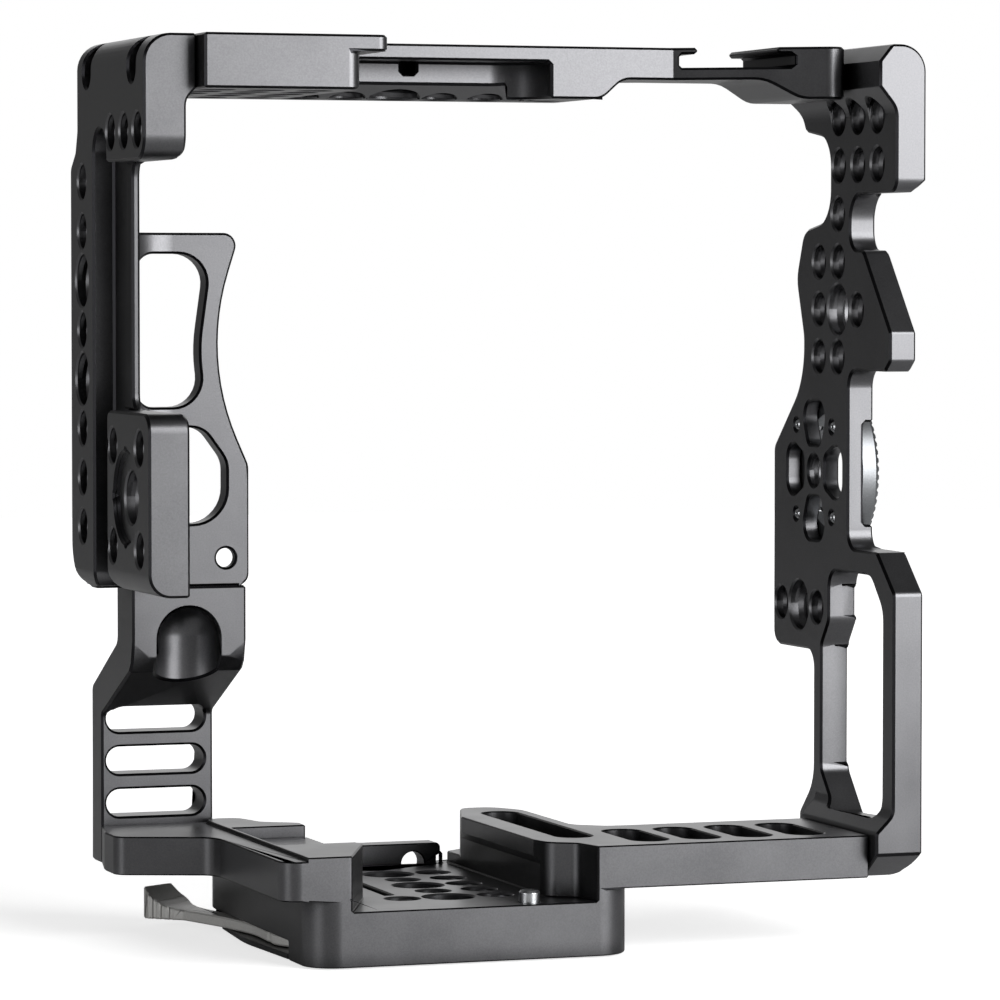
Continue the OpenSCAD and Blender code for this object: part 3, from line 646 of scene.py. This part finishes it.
@dataclass
class CageFrame(Dressing):
    """The five bolted plates of the cage and the screws that join them.

    A place of holes in a side plate is given as Y and Z, and one in a level plate as X and Y.
    """

    plates: tuple[str, ...] = (
        "base_plate", "left_side_plate", "right_side_plate", "top_plate", "grip_leg"
    )
    screws: tuple[str, ...] = (
        "top_left_screws", "top_right_screws", "leg_top_screws", "leg_foot_screws",
        "right_foot_screws",
    )
    # The plates' chamfers take slot 1, the darker painted shade of their broken edges.
    plate_edge: EdgeBreak = EdgeBreak(0.45, edge_slot=1)
    # The front face of the base is a thin neck between the mouth of the channel and the round
    # corner, where a wider chamfer would cross itself.
    base_edge: EdgeBreak = EdgeBreak(0.25, edge_slot=1)
    screw_edge: EdgeBreak = EdgeBreak(0.2)
    # Usual distance between neighbouring holes.
    pitch: float = 9.0
    # Thickness of the channel's floor.
    floor_t: float = 10.0
    # Left plate: its outer face, then the thickness and the place of each group of holes. The
    # rail runs down from its place, the corner row forward, and the block lies around its own.
    left_x: float = -62.2
    rail_t: float = 5.6
    rail_at: Pair = (7.5, 140.8)
    corner_t: float = 7.8
    corner_at: Pair = (-12.8, 149.3)
    block_t: float = 7.5
    block_at: Pair = (-22.6, 84.3)
    # Depth of the recess around the block's large socket.
    recess: float = 1.1
    # Right plate: its inner face, its full and its thin wall, the front end and the heights of
    # the two top rows, the large socket in the middle, and the lowest row.
    right_x: float = 80.0
    full_t: float = 6.0
    middle_t: float = 5.3
    rows_y: float = -29.3
    row_heights: Pair = (144.4, 153.4)
    middle_at: Pair = (-10.9, 117.3)
    low_z: float = 60.3
    low_small_ys: Pair = (16.3, -1.1)
    low_large_y: float = 7.6
    # Hole in the middle of the rosette's seat.
    seat_t: float = 3.2
    seat_at: Pair = (0.3, 86.4)
    # Top plate: its underside and upper face, then the first hole of each group.
    top_z: Pair = (156.4, 166.1)
    field_x: float = -47.8
    field_ys: tuple[float, ...] = (-31.6, -22.6, -13.6, -4.6, 5.0)
    rear_row_at: Pair = (-20.8, 6.5)
    pair_at: Pair = (26.0, 4.0)

    def base_holes(self) -> list[TappedHole]:
        """Lists the holes in the floor of the quick-release channel.

        Returns:
            The middle row with its large sockets, the row beside it, and the single hole.
        """
        large, small = Thread.THREE_EIGHTHS_16, Thread.QUARTER_20
        places = [
            *((0.0, i, small if i % 2 else large) for i in range(-2, 4)),
            *((self.pitch, i, small) for i in range(-2, 3)),
            (-self.pitch, -2, small),
        ]
        return [
            TappedHole((x, i * self.pitch, 0.0), self.floor_t, Axis.Z, thread)
            for x, i, thread in places
        ]

    def left_holes(self) -> list[TappedHole]:
        """Lists the holes of the left plate.

        Returns:
            Those of its rail, its top corner and its front block.
        """
        x, pitch, large = self.left_x, self.pitch, Thread.THREE_EIGHTHS_16
        rail = [
            TappedHole(
                (x, self.rail_at[0], self.rail_at[1] - i * pitch), self.rail_t, Axis.X,
                large if i in (2, 4) else Thread.QUARTER_20,
            )
            for i in range(8)
        ]
        corner = [
            TappedHole(
                (x, self.corner_at[0] - i * pitch, self.corner_at[1]), self.corner_t, Axis.X
            )
            for i in range(3)
        ]
        block = [
            TappedHole(
                (x, self.block_at[0] + a * pitch, self.block_at[1] + b * pitch),
                self.block_t, Axis.X,
            )
            for a in (-1, 1) for b in (-1, 1)
        ]
        socket = TappedHole(
            (x + self.recess, *self.block_at), self.block_t - self.recess, Axis.X, large
        )
        return [*rail, *corner, *block, socket]

    def right_holes(self) -> list[TappedHole]:
        """Lists the holes of the right plate.

        Returns:
            Those of its top rows, its middle, its lowest row and the rosette's seat.
        """
        x, pitch, large = self.right_x, self.pitch, Thread.THREE_EIGHTHS_16
        rows = [
            TappedHole((x, self.rows_y + i * pitch, z), self.full_t, Axis.X)
            for i in range(3) for z in self.row_heights
        ]
        around = ((0, 2), (0, 1), (1, 1), (-1, 0), (1, 0), (0, -1), (1, -1))
        middle = [
            TappedHole(
                (x, self.middle_at[0] + a * pitch, self.middle_at[1] + b * pitch),
                self.middle_t, Axis.X,
            )
            for a, b in around
        ]
        low = [TappedHole((x, y, self.low_z), self.full_t, Axis.X) for y in self.low_small_ys]
        return [
            *rows, *middle, *low,
            TappedHole((x, *self.middle_at), self.middle_t, Axis.X, large),
            TappedHole((x, self.low_large_y, self.low_z), self.full_t, Axis.X, large),
            TappedHole((x, *self.seat_at), self.seat_t, Axis.X, Thread.M6),
        ]

    def top_holes(self) -> list[TappedHole]:
        """Lists the holes of the top plate.

        Returns:
            Those of the field at the left, the rear row and the pair beside the shoe.
        """
        large, small = Thread.THREE_EIGHTHS_16, Thread.QUARTER_20
        low, high = self.top_z
        row_x, row_y = self.rear_row_at
        pair_x, pair_y = self.pair_at
        places = [
            *((self.field_x, i, y, small) for y in self.field_ys for i in range(3)),
            *((row_x, i, row_y, large if i == 2 else small) for i in range(5)),
            *((pair_x, i, pair_y, small) for i in range(2)),
        ]
        return [
            TappedHole((x + i * self.pitch, y, low), high - low, Axis.Z, thread)
            for x, i, y, thread in places
        ]

    def build(self) -> None:
        """Dresses the plates and the joint screws, and cuts the threads."""
        for node in self.plates:
            edge = self.base_edge if node == "base_plate" else self.plate_edge
            self.dress(node, BLASTED_ANODISED, edge)
        for node in self.screws:
            self.dress(node, BLACK_OXIDE, self.screw_edge)
        for name, holes in (
            ("base_threads", self.base_holes()),
            ("left_plate_threads", self.left_holes()),
            ("right_plate_threads", self.right_holes()),
            ("top_plate_threads", self.top_holes()),
        ):
            ThreadSleeve(name, holes).build("cage", BLASTED_ANODISED, "anodised")


@dataclass
class Rosette(Dressing):
    """The toothed ring for arms and handles, and its four screws."""

    edge: EdgeBreak = EdgeBreak(0.12)

    def build(self) -> None:
        """Dresses the ring and its screws."""
        self.dress("rosette", BLASTED_STAINLESS, self.edge)
        self.dress("rosette_screws", TURNED_STAINLESS, self.edge)


@dataclass
class QuickReleaseClamp(Dressing):
    """Cam lever, shaft, sliding jaw and the small parts of the clamp."""

    lever_edge: EdgeBreak = EdgeBreak(0.3)
    # The jaw's chamfers take slot 1, the darker painted shade of its broken edges.
    jaw_edge: EdgeBreak = EdgeBreak(0.3, edge_slot=1)
    fine_edge: EdgeBreak = EdgeBreak(0.12)
    wire_edge: EdgeBreak = EdgeBreak(0.0)

    def build(self) -> None:
        """Dresses every piece of the clamp."""
        self.dress("clamp_lever", SATIN_NICKEL, self.lever_edge)
        self.dress("clamp_jaw", BLASTED_ANODISED, self.jaw_edge)
        self.dress("lever_cover", BLASTED_ANODISED, self.fine_edge)
        for node in ("cam_shaft", "lever_screw", "jaw_guide_screws", "lever_washer"):
            self.dress(node, TURNED_STAINLESS, self.fine_edge)
        self.dress("cover_screws", BLACK_OXIDE, self.fine_edge)
        self.dress("cam_bush", SINTERED_BRONZE, self.fine_edge)
        self.dress("jaw_springs", SPRING_WIRE, self.wire_edge)


@dataclass
class LocatingPin(Dressing):
    """The spring-loaded pin that finds the hole in the camera plate."""

    edge: EdgeBreak = EdgeBreak(0.12)
    wire_edge: EdgeBreak = EdgeBreak(0.0)

    def build(self) -> None:
        """Dresses the pin, its spring and its plug."""
        self.dress("locating_pin", TURNED_STAINLESS, self.edge)
        self.dress("locating_spring", SPRING_WIRE, self.wire_edge)
        self.dress("locating_plug", BLACK_OXIDE, self.edge)


# ---------- studio ----------


@dataclass(frozen=True)
class Softbox:
    """One softbox that faces the object, and that the camera doesn't see.

    Attributes:
        name: Name of the lamp.
        place: Where it hangs, in metres.
        size: Width and height, in metres.
        strength: Its power in watts for each square metre of its face, divided by pi.
    """

    name: str
    place: Point
    size: Pair
    strength: float

    def hang(self, target: Point) -> None:
        """Hangs the softbox in its place.

        Args:
            target: Point that it faces, in metres.
        """
        data = bpy.data.lights.new(self.name, "AREA")
        data.shape = "RECTANGLE"
        data.size, data.size_y = self.size
        data.energy = self.strength * math.pi * self.size[0] * self.size[1]
        lamp = add_object(self.name, data)
        lamp.location = self.place
        aim = Vector(target) - Vector(self.place)
        lamp.rotation_euler = aim.to_track_quat("-Z", "Y").to_euler()
        lamp.visible_camera = False


@dataclass
class Studio:
    """Floor, backdrop, softboxes, pale room and camera, all in metres but for the lens.

    Attributes:
        lens_mm: Focal length of the camera.
        sensor_mm: Width of its sensor.
        clip: Nearest and farthest distance that it sees.
        camera_at: Where it stands.
        camera_looks: Direction in which it looks.
        centre: Middle of the object.
        softboxes: The lamps.
        ambient: Level of the room and the backdrop in the light that they give.
        floor_colour: Colour of the floor's paper.
        floor_roughness: Its roughness.
        floor_glow: Light that only the camera sees the paper give, near the object and far off.
        floor_fade: Distances from the origin between which that changes.
        floor_reach: Half the width of the floor.
        floor_z: Its height, just below the underside of the base.
        backdrop_gap: Distance from the object to the backdrop.
        backdrop_half: Half the width of the backdrop.
        backdrop_height: Its height.
    """

    lens_mm: float = 179.03
    sensor_mm: float = 36.0
    clip: Pair = (0.05, 20.0)
    camera_at: Point = (-0.2923, -0.8769, 0.1236)
    camera_looks: Point = (0.3316, 0.9424, -0.0450)
    centre: Point = (0.012, 0.0, 0.083)
    softboxes: tuple[Softbox, ...] = (
        Softbox("key_softbox", (0.72, -1.04, 0.47), (0.95, 1.0), 7.4),
        Softbox("fill_softbox", (-1.05, -0.42, 0.20), (0.5, 0.5), 3.0),
    )
    ambient: float = 0.14
    floor_colour: str = "#ececec"
    floor_roughness: float = 0.9
    floor_glow: Pair = (0.70, 1.0)
    floor_fade: Pair = (0.10, 0.45)
    floor_reach: float = 1.6
    floor_z: float = -0.0003
    backdrop_gap: float = 1.7
    backdrop_half: float = 0.6
    backdrop_height: float = 1.2

    def camera(self) -> None:
        """Makes the camera at the viewing angle."""
        data = bpy.data.cameras.new("camera")
        data.lens = self.lens_mm
        data.sensor_width = self.sensor_mm
        data.clip_start, data.clip_end = self.clip
        camera = add_object("camera", data)
        forward = Vector(self.camera_looks).normalized()
        right = forward.cross(Vector((0, 0, 1))).normalized()
        up = right.cross(forward).normalized()
        turn = Matrix((right, up, -forward)).transposed().to_4x4()
        camera.matrix_world = Matrix.Translation(Vector(self.camera_at)) @ turn
        bpy.context.scene.camera = camera

    def world(self) -> None:
        """Makes an even pale room that the camera sees as white."""
        world = bpy.data.worlds.new("studio")
        bpy.context.scene.world = world
        tree = empty_tree(world)
        ray = add_node(tree, "ShaderNodeLightPath").outputs["Is Camera Ray"]
        level = add_node(
            tree, "ShaderNodeMapRange", {"Value": ray, "To Min": self.ambient, "To Max": 1.0}
        ).outputs["Result"]
        room = add_node(tree, "ShaderNodeBackground", {"Color": WHITE, "Strength": level})
        add_node(tree, "ShaderNodeOutputWorld", {"Surface": room.outputs[0]})

    def sheet(self, name: str, corners: list[Point], material: bpy.types.Material) -> None:
        """Adds one flat piece of the stage.

        Args:
            name: Name of the piece.
            corners: Its corners in metres.
            material: What it is painted with.
        """
        mesh = bpy.data.meshes.new(name)
        mesh.from_pydata(corners, [], [tuple(range(len(corners)))])
        mesh.materials.append(material)
        piece = add_object(name, mesh)

    def floor_material(self) -> bpy.types.Material:
        """Makes matt white paper that glows a little for the camera and keeps shadows.

        Returns:
            The material.
        """
        material = bpy.data.materials.new("paper_matt_white")
        tree = empty_tree(material)
        ray = add_node(tree, "ShaderNodeLightPath").outputs["Is Camera Ray"]
        place = add_node(tree, "ShaderNodeTexCoord").outputs["Object"]
        away = add_node(
            tree, "ShaderNodeVectorMath", {0: place}, operation="LENGTH"
        ).outputs["Value"]
        open_floor = add_node(
            tree,
            "ShaderNodeMapRange",
            {"Value": away, "From Min": self.floor_fade[0], "From Max": self.floor_fade[1],
             "To Min": self.floor_glow[0], "To Max": self.floor_glow[1]},
            interpolation_type="SMOOTHSTEP",
        ).outputs["Result"]
        glow = add_node(
            tree, "ShaderNodeMath", {0: ray, 1: open_floor}, operation="MULTIPLY"
        ).outputs[0]
        paper = add_node(
            tree,
            "ShaderNodeBsdfPrincipled",
            {"Base Color": linear(self.floor_colour), "Roughness": self.floor_roughness,
             "Emission Color": WHITE, "Emission Strength": glow},
        )
        add_node(tree, "ShaderNodeOutputMaterial", {"Surface": paper.outputs[0]})
        return material

    def card_material(self) -> bpy.types.Material:
        """Makes white card, seen white by the camera and in polished metal.

        Returns:
            The material.
        """
        material = bpy.data.materials.new("backdrop_white")
        tree = empty_tree(material)
        path = add_node(tree, "ShaderNodeLightPath")
        seen = add_node(
            tree,
            "ShaderNodeMath",
            {0: path.outputs["Is Camera Ray"], 1: path.outputs["Is Glossy Ray"]},
            operation="MAXIMUM",
        ).outputs[0]
        level = add_node(
            tree, "ShaderNodeMapRange", {"Value": seen, "To Min": self.ambient, "To Max": 1.0}
        ).outputs["Result"]
        glow = add_node(tree, "ShaderNodeEmission", {"Color": WHITE, "Strength": level})
        add_node(tree, "ShaderNodeOutputMaterial", {"Surface": glow.outputs[0]})
        return material

    def floor(self) -> None:
        """Lays the floor under the object."""
        reach, z = self.floor_reach, self.floor_z
        corners = [(-reach, -reach, z), (reach, -reach, z), (reach, reach, z), (-reach, reach, z)]
        self.sheet("floor", corners, self.floor_material())

    def backdrop(self) -> None:
        """Stands the backdrop behind the object, square to the camera."""
        ahead = Vector((self.camera_looks[0], self.camera_looks[1], 0)).normalized()
        wing = Vector((ahead.y, -ahead.x, 0)) * self.backdrop_half
        foot = Vector((self.centre[0], self.centre[1], self.floor_z)) + ahead * self.backdrop_gap
        top = Vector((0, 0, self.backdrop_height))
        corners = [foot - wing, foot + wing, foot + wing + top, foot - wing + top]
        self.sheet("backdrop", [tuple(c) for c in corners], self.card_material())

    def build(self) -> None:
        """Sets up the view transform, camera, room, lamps, floor and backdrop."""
        bpy.context.scene.view_settings.view_transform = "Standard"
        self.camera()
        self.world()
        for softbox in self.softboxes:
            softbox.hang(self.centre)
        self.floor()
        self.backdrop()
        LOG.info("studio: camera, room, %d softboxes, floor, backdrop", len(self.softboxes))


def main() -> None:
    """Builds the studio and the sub-assemblies in order."""
    logging.basicConfig(level=logging.INFO, format="%(name)s: %(message)s")
    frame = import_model()
    Studio().build()
    for assembly in (
        CageFrame(frame), Rosette(frame), QuickReleaseClamp(frame), LocatingPin(frame)
    ):
        assembly.build()


if __name__ == "__main__":
    main()
